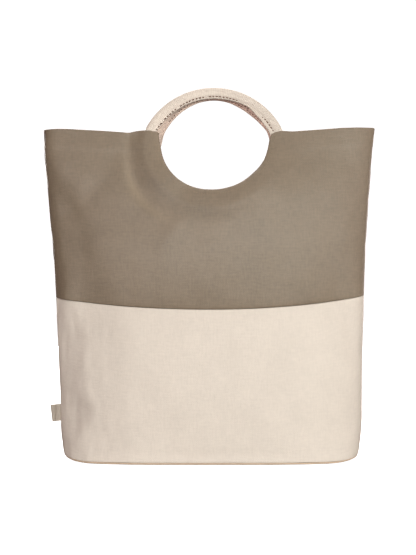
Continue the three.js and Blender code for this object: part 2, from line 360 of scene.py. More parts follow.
def dents_and_rim(face, x, height):
    """How far dents sink a face and the rim of its cut-out lifts it"""
    depth = np.zeros(len(x))
    for dent in DENTS:
        if dent.face == face:
            turn = math.radians(dent.turn)
            right, up = x - dent.x, height - dent.height
            along = right * math.cos(turn) + up * math.sin(turn)
            across = up * math.cos(turn) - right * math.sin(turn)
            depth += dent.depth * bell(along, dent.along) * bell(across, dent.across)
    right, up = x - MOON.across, height - MOON.height
    angle = np.degrees(np.arctan2(up, right)) % 360
    angles, radii, rises, banks = zip(*(FRONT_RIM if face == FRONT else BACK_RIM))
    out = np.hypot(right, up) - np.interp(angle, angles, radii)
    rise = np.interp(angle, angles, rises, left=0, right=0)
    climb = np.clip(-out / np.interp(angle, angles, banks), 0, 1)
    sunk = FOLD_SHARE * bell(np.maximum(out, 0), FOLD_BANK)
    return depth + rise * np.where(out < 0, FOLD_SHARE - smoothstep(climb, 0, 1), sunk)


# Painted light on the dyed canvas of the front, round the fold of the cut-out: a painted highlight on the rim of the
# cut-out, a stronger painted highlight on the crease beyond it, and painted shade between them. By the angle round
# the cut-out, how far each one changes the brightness
FoldLight = namedtuple("FoldLight", "angle rim dirt crease")
FOLD_LIGHT = (
    FoldLight(150, 0.0, 0.0, 0.0), FoldLight(165, 0.17, 0.0, 0.0), FoldLight(186, 0.17, 0.0, 0.03), FoldLight(193, 0.14, 0.0, 0.1),
    FoldLight(199, 0.1, 0.0, 0.18), FoldLight(205, 0.06, -0.02, 0.2), FoldLight(211, 0.0, -0.07, 0.28), FoldLight(218, 0.0, -0.13, 0.22),
    FoldLight(227, 0.0, -0.11, 0.19), FoldLight(236, 0.0, -0.09, 0.13), FoldLight(250, 0.0, -0.1, 0.05), FoldLight(266, 0.0, -0.11, 0.02),
    FoldLight(280, 0.0, -0.08, 0.0), FoldLight(296, 0.0, 0.0, 0.0),
)
PAINTED_RIM_AT = 76.0
PAINTED_SHADE_AT = 102.0
PAINTED_CREASE_BEYOND = 3.0  # beyond the fold
PAINTED_BROAD = 9.0  # reach of the first two to either side
PAINTED_NARROW = 5.0


def fold_light(x, height):
    """How far painted highlights and painted shade change the brightness of the dyed front"""
    right, up = x - MOON.across, height - MOON.height
    angle, far = np.degrees(np.arctan2(up, right)) % 360, np.hypot(right, up)
    angles, *amounts = zip(*FOLD_LIGHT)
    rim, painted_shade, crease = [np.interp(angle, angles, amount) for amount in amounts]
    fold = np.interp(angle, [row.angle for row in FRONT_RIM], [row.radius for row in FRONT_RIM])
    rim = rim * bell(far - PAINTED_RIM_AT, PAINTED_BROAD)
    painted_shade = painted_shade * bell(far - PAINTED_SHADE_AT, PAINTED_BROAD)
    return rim + painted_shade + crease * bell(far - fold - PAINTED_CREASE_BEYOND, PAINTED_NARROW)


def drape(face, across, height, rise=0.0, tuck=0.0):
    """Points of the cloth's outer face, at a distance across from the middle of the face and a height"""
    share = across / HALF_FACE
    point = body(face, share, height)
    to_side = HALF_FACE - np.abs(across)
    over_seam = height - sagging(COLOUR_SEAM, share)
    to_colour_seam, to_base = np.abs(over_seam), height - base_lift(share)
    lower = over_seam < 0
    out = outwards(face, share, height)

    def away_from_sides(reach):
        return smoothstep(to_side, 0, reach)

    def waves(kind):
        return ripples(kind, face, across, height)

    depth = away_from_sides(DENT_END) * dents_and_rim(face, point[:, 0], height)
    for kind in (BROAD_RIPPLES, FINE_RIPPLES):
        depth += away_from_sides(kind.reach) * waves(kind)
    depth += np.exp(-to_side / SIDE_PUCKERS.reach) * np.where(lower, LOWER_PUCKERS, 1) * waves(SIDE_PUCKERS)
    waist = WAIST[face] * np.exp(-to_colour_seam / np.where(over_seam > 0, WAIST_UP, WAIST_DOWN))
    depth += away_from_sides(GROOVE_END) * GROOVE * bell(to_colour_seam, GROOVE_REACH)
    depth += away_from_sides(WAIST_END) * waist
    creased = smoothstep(-across, *CREASED_LEFT) * smoothstep(-over_seam, 0, CREASED_BELOW)
    depth += away_from_sides(LEFT_CREASES.reach) * creased * waves(LEFT_CREASES)
    depth += np.exp(-to_colour_seam / COLOUR_SEAM_PUCKERS.reach) * waves(COLOUR_SEAM_PUCKERS)
    depth += np.exp(-to_base / BASE_PUCKERS.reach) * waves(BASE_PUCKERS)
    if face == FRONT:
        point[:, 1] += np.where(lower, flattened(LOWER_SOFT_TURN, point, LOWER_SOFT_KNEE), 0)
        below, above = flattened(LOWER_TURN, point, LOWER_KNEE), flattened(UPPER_TURN, point, UPPER_KNEE, UPPER_INSET)
        point[:, 1] += np.where(lower, below, above)
    point -= out * (depth + tuck - rise)[:, None]
    point[:, 1] = face * np.maximum(face * point[:, 1], SEWN_GAP / 2)
    return point


# Meshes


def grid(columns, rows):
    """A flat grid with its column and row numbers"""
    mesh = bmesh.new()
    bmesh.ops.create_grid(mesh, x_segments=columns - 1, y_segments=rows - 1, size=1.0)
    spot = np.array([v.co[:2] for v in mesh.verts])
    column = np.rint((spot[:, 0] + 1) / 2 * (columns - 1)).astype(int)
    row = np.rint((spot[:, 1] + 1) / 2 * (rows - 1)).astype(int)
    return mesh, column, row


def move(mesh, points, pattern):
    """Puts the vertices at points, in millimetres, and keeps their place on the flat cloth as the UV map"""
    flat = mesh.loops.layers.uv.new("cloth")
    for vert, point in zip(mesh.verts, points):
        vert.co = Vector(point) * MM
    mesh.verts.index_update()
    for surface in mesh.faces:
        surface.smooth = True
        for loop in surface.loops:
            loop[flat].uv = Vector(pattern[loop.vert.index]) * MM


def piece(name, mesh, material, node=None):
    """Makes an object of a mesh; where a node is named, the object stands for it"""
    data = bpy.data.meshes.new(name)
    mesh.to_mesh(data)
    mesh.free()
    data.materials.append(material)
    made = bpy.data.objects.new(name, data)
    bpy.context.scene.collection.objects.link(made)
    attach(made, "root")
    if node:
        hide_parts(node)
    return made


def thicken(made, thickness, offset):
    """Gives a sheet its thickness, inwards at offset -1 and to both sides at 0, and rounds it off"""
    solid = made.modifiers.new("thickness", "SOLIDIFY")
    solid.thickness = thickness * MM
    solid.offset = offset
    round_off = made.modifiers.new("rounding", "SUBSURF")
    round_off.levels = 1
    round_off.render_levels = 1
    return solid


# Colours and materials


def colour(code):
    channels = [int(code[i : i + 2], 16) / 255 for i in (1, 3, 5)]
    linear = [c / 12.92 if c <= 0.04045 else ((c + 0.055) / 1.055) ** 2.4 for c in channels]
    return (*linear, 1.0)


def add(tree, kind, inputs=None, **settings):
    """Adds a shader node and gives its outputs; an input given as a socket is linked and any other is set"""
    node = tree.nodes.new("ShaderNode" + kind)
    for name, value in settings.items():
        setattr(node, name, value)
    for name, value in (inputs or {}).items():
        if isinstance(value, bpy.types.NodeSocket):
            tree.links.new(value, node.inputs[name])
        else:
            node.inputs[name].default_value = value
    return node.outputs


WAVE_PERIOD = 0.314159  # at which a wave texture of scale 1 repeats
SLUB_SIZES = ((2.4, 11.0), (10.0, 2.6))  # width and height of thick places in the warp and the weft
SLUB_RELIEF = 2.0  # of slubs against that of threads
PATCHES = 26.0  # broad uneven patches in a metre of cloth
RIB_TOPS = 0.8  # how light the threads are against how dark the gaps between them
CLOTH_RELIEF = 0.25
PLY = 0.9  # length of a turn of the plies in a sewing thread
PLY_RELIEF = 0.15


def blank(name):
    """A material without nodes, and its tree"""
    material = bpy.data.materials.new(name)
    material.use_nodes = True
    material.node_tree.nodes.clear()
    return material, material.node_tree


def woven(name, base, thread, slub, cloud, gloss, ribs=0.05, across_only=False, painted_light_and_tone=False):
    """Plain-woven cloth. thread is the pitch in millimetres; slub and cloud are how far thick threads and
    broad uneven patches change the brightness, gloss is the pressed cloth's soft shine, and ribs is how dark
    the gaps between threads are"""
    material, tree = blank(name)
    flat = add(tree, "UVMap", uv_map="cloth")["UV"]
    band = WAVE_PERIOD / (thread * MM)
    warp = add(tree, "TexWave", {"Vector": flat, "Scale": band}, bands_direction="X")["Fac"]
    weft = add(tree, "TexWave", {"Vector": flat, "Scale": band}, bands_direction="Y")["Fac"]
    over = add(tree, "TexChecker", {"Vector": flat, "Scale": 1 / (thread * MM)})["Fac"]
    weave = weft if across_only else add(tree, "Mix", {"Factor": over, 2: warp, 3: weft})["Result"]
    streaks = []
    for wide, tall in SLUB_SIZES:
        size = (1 / (wide * MM), 1 / (tall * MM), 1.0)
        spot = add(tree, "VectorMath", {0: flat, 1: size}, operation="MULTIPLY")["Vector"]
        streaks.append(add(tree, "TexNoise", {"Vector": spot, "Scale": 1.0, "Detail": 3.0})["Fac"])
    both = add(tree, "Math", {0: streaks[0], 1: streaks[1]}, operation="ADD")["Value"]
    patches = add(tree, "TexNoise", {"Vector": flat, "Scale": PATCHES, "Detail": 4.0})["Fac"]
    slubs = add(
        tree, "MapRange", {"Value": both, "From Min": 0.7, "From Max": 1.3, "To Min": -slub, "To Max": slub}
    )["Result"]
    clouds = add(
        tree,
        "MapRange",
        {"Value": patches, "From Min": 0.3, "From Max": 0.7, "To Min": 1 - cloud, "To Max": 1 + cloud},
    )["Result"]
    threads = add(tree, "MapRange", {"Value": weave, "To Min": -ribs, "To Max": RIB_TOPS * ribs})["Result"]
    uneven = add(tree, "Math", {0: slubs, 1: clouds}, operation="ADD")["Value"]
    value = add(tree, "Math", {0: uneven, 1: threads}, operation="ADD")["Value"]
    # Painted light and shade, and a darker tone, kept on the mesh, change the brightness
    if painted_light_and_tone:
        change = add(tree, "Attribute", attribute_name="painted_light_and_tone")["Fac"]
        value = add(tree, "Math", {0: value, 1: change}, operation="ADD")["Value"]
    tone = add(tree, "HueSaturation", {"Color": colour(base), "Value": value})["Color"]
    relief = add(tree, "Math", {0: both, 1: SLUB_RELIEF, 2: weave}, operation="MULTIPLY_ADD")["Value"]
    bump = add(tree, "Bump", {"Height": relief, "Distance": CLOTH_RELIEF * MM, "Strength": 0.5})["Normal"]
    cloth = add(
        tree, "BsdfPrincipled", {"Base Color": tone, "Roughness": 0.44, "Normal": bump, "Specular IOR Level": gloss}
    )["BSDF"]
    add(tree, "OutputMaterial", {"Surface": cloth})
    return material


def spun(name, base):
    """Sewing thread, lighter and darker by turns as its plies twist"""
    material, tree = blank(name)
    place = add(tree, "TexCoord")["Object"]
    plies = add(tree, "TexNoise", {"Vector": place, "Scale": 1 / (PLY * MM), "Detail": 2.0})["Fac"]
    value = add(
        tree, "MapRange", {"Value": plies, "From Min": 0.3, "From Max": 0.7, "To Min": 0.8, "To Max": 1.2}
    )["Result"]
    tone = add(tree, "HueSaturation", {"Color": colour(base), "Value": value})["Color"]
    bump = add(tree, "Bump", {"Height": plies, "Distance": PLY_RELIEF * MM, "Strength": 0.5})["Normal"]
    thread = add(tree, "BsdfPrincipled", {"Base Color": tone, "Roughness": 0.7, "Normal": bump})["BSDF"]
    add(tree, "OutputMaterial", {"Surface": thread})
    return material


CANVAS_THREAD = 1.4  # twice its real pitch, so that the weave shows
# The ribs are wider than the real 0.9 mm, so that they show
WEBBING = {"thread": 2.2, "slub": 0.04, "cloud": 0.02, "gloss": 0.15, "ribs": 0.07, "across_only": True, "painted_light_and_tone": True}

# Piece-dyed cotton canvas, pressed to a soft shine, with uneven dye and slubs, and painted highlights and shade round
# the cut-out of the front
dyed_canvas = woven("dyed cotton canvas", "#847664", CANVAS_THREAD, slub=0.1, cloud=0.05, gloss=0.65, painted_light_and_tone=True)
# The same canvas on its folded and cut edges, darker and duller: painted shade where the edges turn away from the
# light
dyed_edge_shade = woven("dyed cotton canvas, folded edge", "#6B5E50", CANVAS_THREAD, slub=0.03, cloud=0.03, gloss=0.4)
# Undyed cotton canvas of the same weave, pale and duller, its slubs less plain
natural_canvas = woven("natural cotton canvas", "#DDD4C9", CANVAS_THREAD, slub=0.035, cloud=0.03, gloss=0.25)
# Undyed canvas of the base, a little browner: painted warm shade where it turns under the bag
shaded_base_canvas = woven("natural cotton canvas, base", "#D4BEA6", CANVAS_THREAD, slub=0.03, cloud=0.03, gloss=0.2)
# Undyed cotton webbing, pale and dull, ribbed across; painted shade and a darker tone are laid on its mesh
cotton_webbing = woven("natural cotton webbing", "#DFD4C8", **WEBBING)
# The same webbing inside the back handle, browner: painted warm shade
shaded_webbing = woven("natural cotton webbing, shaded", "#DEC7BA", **WEBBING)
# Polyester ribbon, grey-brown and smooth, with a slight shine
ribbon = woven("woven ribbon", "#AFA497", thread=0.8, slub=0.02, cloud=0.02, gloss=0.5)
# Spun polyester sewing thread, matte and uneven
# The handles' thread is dark brown: partly its own colour, partly painted shade of its stitch holes
brown_thread_and_shade = spun("tan sewing thread", "#63412F")
taupe_thread = spun("taupe sewing thread", "#94846F")

# Panels

# Cells of the panels' grids: over each face, and in narrow strips along the seams, the top edge and the foot
FRONT_CELL = 3.4
BACK_CELL = 4.4
Strip = namedtuple("Strip", "wide cell")
SIDE_STRIP = Strip(8, 2)
SEAM_STRIP = Strip(6, 1.2)
TOP_STRIP = Strip(8, 1.6)
FOOT_STRIP = Strip(9, 3)
FOOT_CELL = 0.4  # where the wall turns in under the foot strip
MOON_BLOCK = 0.85  # half the side of the square that opens into the half-moon, as a share of its radius
MOON_REACH = 70.0  # of the moves round the square
FLARE_REACH = 40.0  # of the moves beside its rounded corners
TOUCH = 0.01  # room for rounding


def lines(*runs):
    """Positions of grid lines: runs of (start, end, step), each starting where the last one ended"""
    spots = [np.array([runs[0][0]])]
    for start, end, step in runs:
        count = max(1, round(abs(end - start) / step))
        spots.append(np.linspace(start, end, count + 1)[1:])
    return np.concatenate(spots)


def round_the_moon(moon, across, height, block):
    """Opens the square block of removed cells into the half-moon and moves the cells round it along"""
    right, up = across - moon.across, height - moon.height
    below = up < 0
    angle = np.arctan2(np.where(below, up, 0), right)
    far = np.where(below, np.hypot(right, up), np.abs(right))
    with np.errstate(divide="ignore"):
        edge = np.minimum(block / np.abs(np.cos(angle)), block / np.abs(np.sin(angle)))
    t = np.clip((far - edge) / MOON_REACH, 0, 1)
    fall = (1 - t) ** 2 * (1 + 2 * t)
    far = far + (moon_radius(moon, angle) - edge) * fall
    new_right = far * np.cos(angle)
    new_up = np.where(below, far * np.sin(angle), up)
    new_right += moon.lean * new_up * fall
    return moon.across + new_right, moon.height + new_up, far - moon.radius


def flare(moon, across, height, top):
    """Rounds the two corners where the half-moon meets the top edge"""
    side = np.where(across < moon.across, -1.0, 1.0)
    fillet = np.where(side < 0, moon.left_fillet, moon.right_fillet)
    over = np.clip(fillet - (top - height), 0, fillet)
    out = fillet - np.sqrt(np.clip(fillet**2 - over**2, 0, None))
    t = np.clip((np.abs(across - moon.across) - moon.radius) / FLARE_REACH, 0, 1)
    return across + side * out * (1 - t) ** 2


def upper_panel(name, face, cell, node):
    moon = MOON if face == FRONT else BACK_MOON
    block = MOON_BLOCK * moon.radius
    left, right = moon.across - block, moon.across + block
    reach = HALF_FACE - SEWN_GAP / 2
    flank = reach - SIDE_STRIP.wide
    columns = lines(
        (-reach, -flank, SIDE_STRIP.cell), (-flank, left, cell), (left, right, cell), (right, flank, cell),
        (flank, reach, SIDE_STRIP.cell),
    )
    low, high = COLOUR_SEAM.middle + SEWN_GAP / 2, TOP_EDGE.middle
    over_seam, floor, under_top = low + SEAM_STRIP.wide, moon.height - block, high - TOP_STRIP.wide
    rows = lines(
        (low, over_seam, SEAM_STRIP.cell), (over_seam, floor, cell), (floor, under_top, cell),
        (under_top, high, TOP_STRIP.cell),
    )
    mesh, column, row = grid(len(columns), len(rows))
    across, height = columns[column], rows[row]
    inside = (across > left - TOUCH) & (across < right + TOUCH) & (height > floor - TOUCH)
    across, height, to_moon = round_the_moon(moon, across, height, block)
    up = (height - low) / (high - low)
    share = across / HALF_FACE
    top = top_edge(face, across)
    seam_shift = sagging(COLOUR_SEAM, share) - COLOUR_SEAM.middle
    height = height + seam_shift * (1 - up) + (top - TOP_EDGE.middle) * up
    across = flare(moon, across, height, top)
    to_corner = np.abs(across - moon.across) - moon.radius
    to_edge = np.minimum(top - height, np.where(height < moon.height, to_moon, to_corner))
    doubled = smoothstep(HEM_REACH + HEM_STEP / 2 - to_edge, 0, HEM_STEP)
    points = drape(face, across, height, rise=HEM_RISE * doubled)
    pattern = np.stack([across, height], axis=-1)
    if face == BACK:
        bmesh.ops.reverse_faces(mesh, faces=mesh.faces)
    move(mesh, points, pattern)
    gone = [surface for surface in mesh.faces if all(inside[vert.index] for vert in surface.verts)]
    room = np.maximum(THINNEST, np.abs(points[:, 1]) - SIDE_ROOM)
    thickness = np.minimum(CLOTH + (HEM - CLOTH) * doubled, room)
    weight = mesh.verts.layers.deform.verify()
    # Painted highlights and painted shade round the cut-out of the front, kept on the vertices
    painted_light_and_tone = mesh.verts.layers.float.new("painted_light_and_tone")
    changes = fold_light(points[:, 0], height) if face == FRONT else np.zeros(len(points))
    for vert, thick, change in zip(mesh.verts, thickness, changes):
        vert[weight][0] = float(thick / HEM)
        vert[painted_light_and_tone] = float(change)
    bmesh.ops.delete(mesh, geom=gone, context="FACES")
    made = piece(name, mesh, dyed_canvas, node)
    # The edges of the cloth take the darker canvas, painted shade
    made.data.materials.append(dyed_edge_shade)
    made.vertex_groups.new(name="layers")
    solid = thicken(made, HEM, -1)
    solid.vertex_group = "layers"
    solid.material_offset_rim = 1
    return made


def lower_panel(name, face, cell, node):
    reach = HALF_FACE - SEWN_GAP / 2
    flank = reach - SIDE_STRIP.wide
    columns = lines((-reach, -flank, SIDE_STRIP.cell), (-flank, flank, cell), (flank, reach, SIDE_STRIP.cell))
    rolled = FOOT_ROLL * math.pi / 2
    tall = COLOUR_SEAM.middle - FOOT_ROLL + rolled
    over_foot, under_seam = rolled + FOOT_STRIP.wide, tall - SEAM_STRIP.wide
    rows = lines(
        (0, rolled, FOOT_CELL), (rolled, over_foot, FOOT_STRIP.cell), (over_foot, under_seam, cell),
        (under_seam, tall, SEAM_STRIP.cell),
    )
    mesh, column, row = grid(len(columns), len(rows))
    across, cloth = columns[column], rows[row]
    share = across / HALF_FACE
    turned = np.minimum(cloth / FOOT_ROLL, math.pi / 2)
    tuck = FOOT_ROLL * (1 - np.sin(turned))
    foot = base_lift(share) + RIM_RISE + FOOT_GAP
    up = np.clip((cloth - rolled) / (tall - rolled), 0, 1)
    height = foot + FOOT_ROLL * (1 - np.cos(turned))
    height += (sagging(COLOUR_SEAM, share) - SEWN_GAP / 2 - foot - FOOT_ROLL) * up
    if face == BACK:
        bmesh.ops.reverse_faces(mesh, faces=mesh.faces)
    move(mesh, drape(face, across, height, tuck=tuck), np.stack([across, cloth], axis=-1))
    made = piece(name, mesh, natural_canvas, node)
    thicken(made, CLOTH, -1)
    return made


# The base's rim, which curls up to the walls: distance in from the wall and height over the underside
Curl = namedtuple("Curl", "inside rise")
BASE_RIM = (Curl(0.1, 2.9), Curl(0.2, 1.9), Curl(0.9, 0.8), Curl(2.4, 0.2), Curl(6.0, 0.0))
# Shares of the way to a side seam: the ends of the base, where its cells get smaller, and the cells
BASE_END = 0.992
BASE_ENDS_FROM = 0.9
BASE_END_CELL = 0.012
BASE_CELL = 0.02
FLOOR_CELL = 0.1  # as a share of the way from front to back
BASE_READ = 0.5  # height over its own at which the base follows the walls


def base_panel():
    columns = HALF_FACE * lines(
        (-BASE_END, -BASE_ENDS_FROM, BASE_END_CELL), (-BASE_ENDS_FROM, BASE_ENDS_FROM, BASE_CELL),
        (BASE_ENDS_FROM, BASE_END, BASE_END_CELL),
    )
    floor_rows = lines((0, 1, FLOOR_CELL))[1:-1]
    mesh, column, row = grid(len(columns), 2 * len(BASE_RIM) + len(floor_rows))
    lift = base_lift(columns / HALF_FACE)
    front, back = [
        [drape(face, columns, lift + curl.rise + BASE_READ, tuck=curl.inside) for curl in BASE_RIM]
        for face in (FRONT, BACK)
    ]
    floor = [front[-1] * (1 - way) + back[-1] * way for way in floor_rows]
    across = np.array(front + floor + back[::-1])
    across[:, :, 2] -= BASE_READ
    points = across[row, column]
    move(mesh, points, points[:, :2])
    mesh.normal_update()
    if sum(surface.normal.z for surface in mesh.faces) > 0:
        bmesh.ops.reverse_faces(mesh, faces=mesh.faces)
    made = piece("base_cloth", mesh, shaded_base_canvas, "base_panel")
    thicken(made, BASE_THICK, -1)
    return made


# Handles

ARCH_POINTS = 121
FOOT_POINTS = 22
SMOOTHINGS = 12  # of the bend between arch and foot


def far_along(points):
    """Distance along a line up to each of its points"""
    return np.concatenate([[0], np.cumsum(np.linalg.norm(np.diff(points, axis=0), axis=1))])


def handle_line(arch):
    """Middle line of a handle, and how far each point is into a sewn foot"""
    slant = math.radians(FOOT_SLANT)
    angle = np.radians(np.linspace(-HANDLE_SWING, HANDLE_SWING, ARCH_POINTS))
    radius = arch.radius - (np.interp(np.degrees(angle), *zip(*BACK_SINKS)) if arch.face == BACK else 0)
    x = arch.x + radius * np.sin(angle)
    z = arch.height + radius * np.cos(angle)
    down = np.linspace(HANDLE_FOOT, 0, FOOT_POINTS)[:-1]
    left_x, left_z = x[0] - down * math.sin(slant), z[0] - down * math.cos(slant)
    right_x, right_z = x[-1] + down * math.sin(slant), z[-1] - down * math.cos(slant)
    x = np.concatenate([left_x, x, right_x[::-1]])
    z = np.concatenate([left_z, z, right_z[::-1]])
    for _ in range(SMOOTHINGS):
        x[1:-1] = (x[:-2] + 2 * x[1:-1] + x[2:]) / 4
        z[1:-1] = (z[:-2] + 2 * z[1:-1] + z[2:]) / 4
    share = x / HALF_FACE
    sewn_at = np.minimum(z, TOP_EDGE.middle)
    point = body(arch.face, share, sewn_at)
    inwards = FOOT_BEHIND + arch.slack + dents_and_rim(arch.face, point[:, 0], sewn_at)
    point -= outwards(arch.face, share, sewn_at) * inwards[:, None]
    rise = smoothstep(z, TOP_EDGE.middle - LEAN_FROM, arch.height + arch.radius)
    y = arch.face * (np.abs(point[:, 1]) * (1 - rise) + APEX_DEPTH * rise)
    sunk = smoothstep(TOP_EDGE.middle - z, *SEWN_FROM)
    return np.stack([x, y, z], axis=-1), sunk


# Half of the folded webbing's section, from the selvedge past the stitch line to the fold: distance out from
# the middle of the arch's band, and distance from the fold's middle plane
FOLD = (
    (-6.9, 1.3), (-5.8, 1.1), (-4.9, 0.85), (-4.1, 0.72), (-3.3, 0.95), (-1.8, 1.8), (0.6, 2.3), (3.0, 2.25),
    (5.3, 1.75), (6.6, 0.9), (7.0, 0.0),
)
STITCH_LINE = -4.1  # where the stitches run in that section
LIP_FROM = -3.3  # where its lip begins, which can roll over or spread
LIP = 3.6  # from there to the selvedge


def handle_frames(arch):
    """Middle line of a handle, its directions out of the bag and away from the arch's middle, and how far it is sunk
    into a sewn foot"""
    line, sunk = handle_line(arch)
    along = np.gradient(line, axis=0)
    along /= np.linalg.norm(along, axis=1)[:, None]
    plain_out = np.tile([0.0, float(arch.face), 0.0], (len(line), 1))
    share = line[:, 0] / HALF_FACE
    sewn_out = outwards(arch.face, share, np.minimum(line[:, 2], TOP_EDGE.middle))
    out = plain_out * (1 - sunk)[:, None] + sewn_out * sunk[:, None]
    out -= along * np.sum(out * along, axis=1)[:, None]
    out /= np.linalg.norm(out, axis=1)[:, None]
    away = np.cross(along, out) * arch.face
    if away[len(away) // 2, 2] < 0:
        away = -away
    return line, out, away, sunk


# Where the front webbing's selvedge rolls forwards over its stitches, in degrees from the top of the arch
ROLL_AT = 33.0
ROLL_REACH = 15.0
ROLL_UP = 1.3  # away from the middle of the arch
ROLL_OUT = 1.7
ROLL_HIDES = 0.4  # share of the roll that hides the stitches
# Angles between which that selvedge spreads inwards, down to the right foot
SPREAD_FROM = (28.0, 44.0)
SPREAD_DOWN = 2.6
SPREAD_OUT = 0.5
# How far the front webbing is darker by the angle, towards its right foot, and how far painted shade darkens the
# inside of the back webbing on its left
FRONT_DARKER_BY_ANGLE = ((0, 0.0), (30, -0.09))
BACK_PAINTED_SHADE = ((-35, -0.06), (-10, 0.0))
# Painted shadow of the front webbing's lip on the inside of the back webbing: how dark it is round an angle, and
# where in its section that grows
GAP_SHADOW = -0.52
GAP_SHADOW_AT = -34.0
GAP_SHADOW_REACH = 13.0
GAP_SHADOW_FROM = (-4.1, -3.0)
# Painted shade on the front webbing's selvedge round the top of the arch: how dark it is, where in its section that
# fades, and the angles between which it does
LIP_SHADE = -0.16
LIP_SHADE_FROM = (1.8, 4.1)
LIP_SHADE_TO = (20.0, 34.0)
# How far the front stitches stray towards the selvedge on the left, the angles between which they do, and how much
# the selvedge lifts them
STRAY = 1.8
STRAY_FROM = (15.0, 40.0)
STRAY_LIFT = 0.2


def from_top(arch, line):
    """Angles from the top of the arch, positive to the right"""
    return np.degrees(np.arctan2(line[:, 0] - arch.x, line[:, 2] - arch.height))


def rolled_over(arch, line):
    return bell(from_top(arch, line) - ROLL_AT, ROLL_REACH) if arch.face == FRONT else np.zeros(len(line))


def spread(arch, line):
    return smoothstep(from_top(arch, line), *SPREAD_FROM) if arch.face == FRONT else np.zeros(len(line))


def webbing_shade_and_tone(arch, angle, across, inside):
    """How far painted shade, and a darker tone towards the front's right foot, change the brightness of the webbing
    """
    if arch.face == FRONT:
        at_top = 1 - smoothstep(np.abs(angle), *LIP_SHADE_TO)
        return np.interp(angle, *zip(*FRONT_DARKER_BY_ANGLE)) + LIP_SHADE * smoothstep(-across, *LIP_SHADE_FROM) * at_top
    gap_shadow = GAP_SHADOW * smoothstep(across, *GAP_SHADOW_FROM) * bell(angle - GAP_SHADOW_AT, GAP_SHADOW_REACH)
    return np.where(inside, np.interp(angle, *zip(*BACK_PAINTED_SHADE)) + gap_shadow, 0)


def handle(name, arch, node):
    line, out, away, sunk = handle_frames(arch)
    half = np.array(FOLD)
    section = np.concatenate([half, half[-2::-1] * (1, -1)])
    mesh, column, row = grid(len(section), len(line))
    width, length = far_along(section), far_along(line)
    across, aside = section[column].T
    to_selvedge = np.clip((LIP_FROM - across) / LIP, 0, 1)
    roll = rolled_over(arch, line)[row] * to_selvedge
    wide = spread(arch, line)[row] * to_selvedge
    pressed = aside * (1 - SEWN_FLATTER * sunk[row])
    points = line[row] + away[row] * (across + ROLL_UP * roll - SPREAD_DOWN * wide)[:, None]
    points += out[row] * (pressed + ROLL_OUT * roll + SPREAD_OUT * wide)[:, None]
    move(mesh, points, np.stack([width[column], length[row]], axis=-1))
    inside = aside < 0
    # Painted shade on the webbing, and the front's darker right foot, kept on the vertices
    painted_light_and_tone = mesh.verts.layers.float.new("painted_light_and_tone")
    for vert, change in zip(mesh.verts, webbing_shade_and_tone(arch, from_top(arch, line)[row], across, inside)):
        vert[painted_light_and_tone] = float(change)
    for surface in mesh.faces:
        # The inside of the back handle takes the browner webbing, painted warm shade
        surface.material_index = int(arch.face == BACK and all(inside[vert.index] for vert in surface.verts))
    bmesh.ops.recalc_face_normals(mesh, faces=mesh.faces)
    made = piece(name, mesh, cotton_webbing, node)
    made.data.materials.append(shaded_webbing)
    thicken(made, WEBBING_THICK, 0)


# Stitches

Stitch = namedtuple("Stitch", "length pitch thick")
HANDLE_STITCH = Stitch(3.4, 4.4, 0.95)
FAINT_STITCH = HANDLE_STITCH._replace(thick=0.5)
HEM_STITCH = Stitch(2.4, 3.4, 0.32)
UNEVEN = 0.6  # share by which lengths differ
THREAD_FLAT = 0.7  # height of a pressed thread against its width
PULLED_IN = -0.4  # unevenness below which a handle's stitches are out of sight
NEVER = -1.0
AHEAD = 0.5  # along the row, to find its direction
HANDLE_STITCH_PROUD = 0.1
STITCHED_FROM = -6.4  # over the top edge
FAINT_FROM = 18.0
HEM_STITCH_IN = 6.5  # from the edge of the cut-out
HEM_STITCH_PROUD = 0.55
HEM_POINTS = 160  # round the cut-out


def stitches(name, points, out, stitch, material, hidden_below=NEVER):
    """A row of uneven short threads lying along points, raised on the side that out points to; the shortest are
    pulled out of sight into the cloth"""
    mesh = bmesh.new()
    far = far_along(points)
    middles = np.arange(stitch.pitch / 2, far[-1], stitch.pitch)

    def along_row(at, values):
        return np.stack([np.interp(at, far, values[:, k]) for k in range(3)], axis=-1)

    rows = zip(along_row(middles, points), along_row(middles + AHEAD, points), along_row(middles, out))
    for i, (place, onward, raised) in enumerate(rows):
        odd = noise.noise((1.3 * i, 10 * stitch.thick, stitch.length))
        if odd < hidden_below:
            continue
        along = Vector(onward - place).normalized()
        side = Vector(raised).cross(along).normalized()
        turn = Matrix((along, side, along.cross(side))).transposed().to_4x4()
        half_length = stitch.length * (1 + UNEVEN * odd) / 2
        size = Matrix.Diagonal((half_length * MM, stitch.thick * MM, stitch.thick * THREAD_FLAT * MM, 1))
        lie = Matrix.Translation(Vector(place) * MM) @ turn @ size
        bmesh.ops.create_icosphere(mesh, subdivisions=1, radius=1, matrix=lie)
    for surface in mesh.faces:
        surface.smooth = True
    piece(name, mesh, material)


def handle_stitches(name, arch, side):
    """The stitches on the outside of a handle, side 1, or on its inside, side -1"""
    line, out, away, _ = handle_frames(arch)
    faint = arch.face == BACK and side < 0
    free = line[:, 2] > TOP_EDGE.middle + (FAINT_FROM if faint else STITCHED_FROM)
    if side > 0:
        free &= rolled_over(arch, line) < ROLL_HIDES
    raised = out * side
    stray = STRAY * smoothstep(-from_top(arch, line), *STRAY_FROM) * (arch.face == FRONT)
    proud = dict(FOLD)[STITCH_LINE] + STRAY_LIFT * stray + WEBBING_THICK / 2 + HANDLE_STITCH_PROUD
    points = line + away * (STITCH_LINE - stray)[:, None] + raised * proud[:, None]
    stitch = FAINT_STITCH if faint else HANDLE_STITCH
    stitches(name, points[free], raised[free], stitch, brown_thread_and_shade, PULLED_IN)


